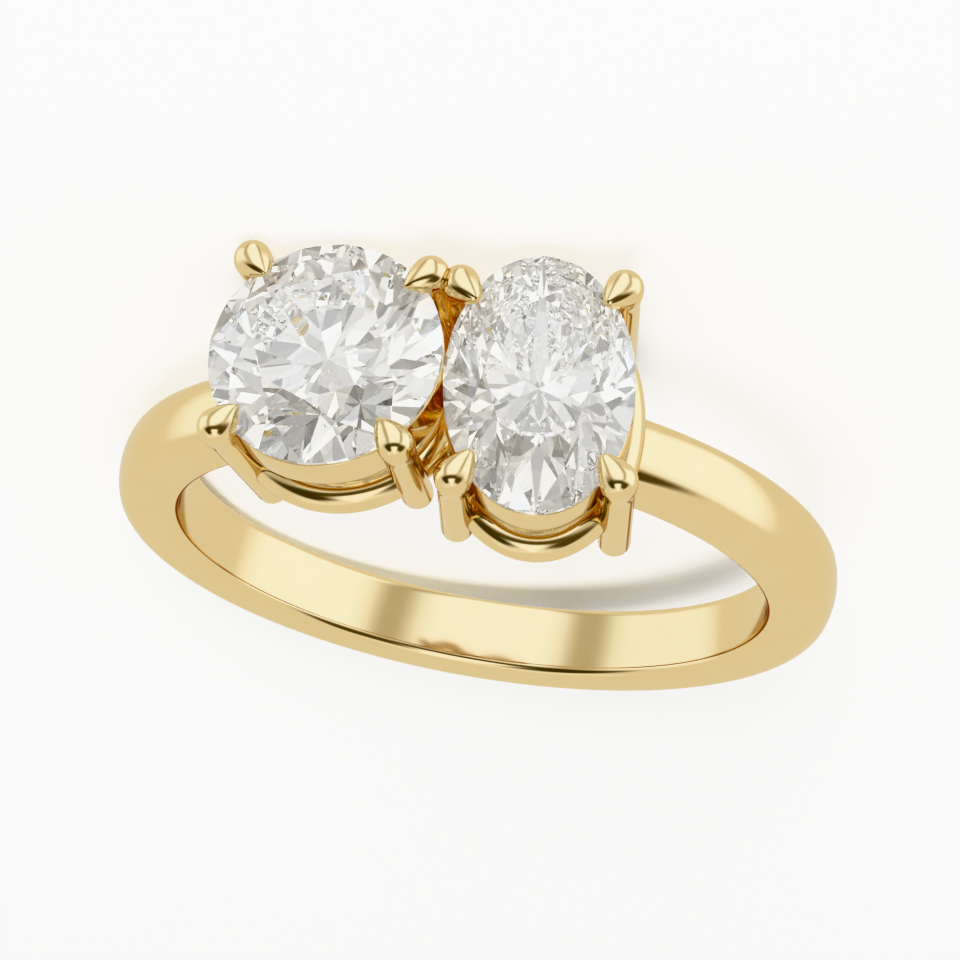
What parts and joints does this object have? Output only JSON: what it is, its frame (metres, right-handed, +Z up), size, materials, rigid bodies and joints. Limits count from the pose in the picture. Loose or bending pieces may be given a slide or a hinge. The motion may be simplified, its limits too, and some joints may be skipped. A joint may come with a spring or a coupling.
{
  "type": "toi et moi ring",
  "caption": "Finger ring with a plain domed band and a round and an oval brilliant set side by side in open claw baskets.",
  "frame": {"origin": "the surface the ring lies on, under the middle of the ring's box", "axes": "+Z up from that surface, +Y from the heads to the bottom of the shank, +X from the oval head to the round head"},
  "size_m": [0.021, 0.0248, 0.008],
  "materials": {
    "gold": "polished yellow gold",
    "stone": "clear faceted diamond"
  },
  "bodies": {
    "root": {"ring_mount": "gold", "round_stone": "stone", "oval_stone": "stone"}
  },
  "joints": []
}
